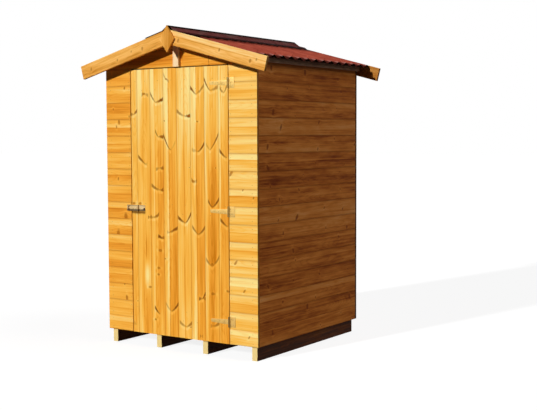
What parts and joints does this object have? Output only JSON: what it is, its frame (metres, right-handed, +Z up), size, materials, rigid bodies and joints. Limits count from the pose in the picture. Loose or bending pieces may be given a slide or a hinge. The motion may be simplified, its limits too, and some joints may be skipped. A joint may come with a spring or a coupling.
{
  "type": "garden shed",
  "caption": "Small timber garden shed on skids with a hinged boarded door, hasp and staple, and a pitched roof of corrugated sheets under a ridge cap.",
  "frame": {"origin": "centre of the bounding box at ground level, under the skids", "axes": "+Z up, the door faces -Y, +X is to the right of someone who faces the door"},
  "size_m": [1.52, 1.488, 2.1],
  "materials": {
    "wall_boards": "golden brown treated softwood boards",
    "door_boards": "golden treated softwood boards with dark knots",
    "trim_boards": "golden treated softwood, planed",
    "frame_timber": "sawn softwood",
    "base_timber": "sawn treated softwood",
    "roof_sheet": "red bitumen fibre corrugated sheet, matt",
    "ridge_cap": "dark red bitumen fibre, matt",
    "zinc": "zinc plated"
  },
  "bodies": {
    "shed": {"skid_1": "base_timber", "skid_2": "base_timber", "skid_3": "base_timber", "skid_4": "base_timber", "floor": "base_timber", "front_wall_left": "wall_boards", "front_wall_right": "wall_boards", "front_gable": "wall_boards", "left_wall": "wall_boards", "right_wall": "wall_boards", "back_wall": "wall_boards", "corner_post_front_left": "frame_timber", "corner_post_front_right": "frame_timber", "corner_post_back_left": "frame_timber", "corner_post_back_right": "frame_timber", "door_post_left": "frame_timber", "door_post_right": "frame_timber", "door_head": "frame_timber", "gable_batten": "trim_boards", "ridge_beam": "frame_timber", "eaves_purlin_left": "frame_timber", "eaves_purlin_right": "frame_timber", "roof_sheet_left": "roof_sheet", "roof_sheet_right": "roof_sheet", "ridge_cap": "ridge_cap", "bargeboard_front_left": "trim_boards", "bargeboard_front_right": "trim_boards", "bargeboard_back_left": "trim_boards", "bargeboard_back_right": "trim_boards", "finial_front": "trim_boards", "finial_back": "trim_boards", "hinge_plate_bottom": "zinc", "hinge_plate_middle": "zinc", "hinge_plate_top": "zinc", "staple": "zinc"},
    "door": {"door_leaf": "door_boards", "door_ledge_bottom": "frame_timber", "door_ledge_middle": "frame_timber", "door_ledge_top": "frame_timber", "door_braces": "frame_timber", "hinge_strap_bottom": "zinc", "hinge_strap_middle": "zinc", "hinge_strap_top": "zinc", "hasp_plate": "zinc"},
    "hasp": {"hasp_strap": "zinc"}
  },
  "joints": [
    {"name": "door_swing", "type": "hinge", "parent": "shed", "child": "door", "pos_m": [0.40225, -0.6443, 0.928], "axis": [0, 0, 1], "range_deg": [0, 120]},
    {"name": "hasp_swing", "type": "hinge", "parent": "door", "child": "hasp", "pos_m": [-0.3445, -0.6443, 0.925], "axis": [0, 0, 1], "range_deg": [0, 170]}
  ]
}
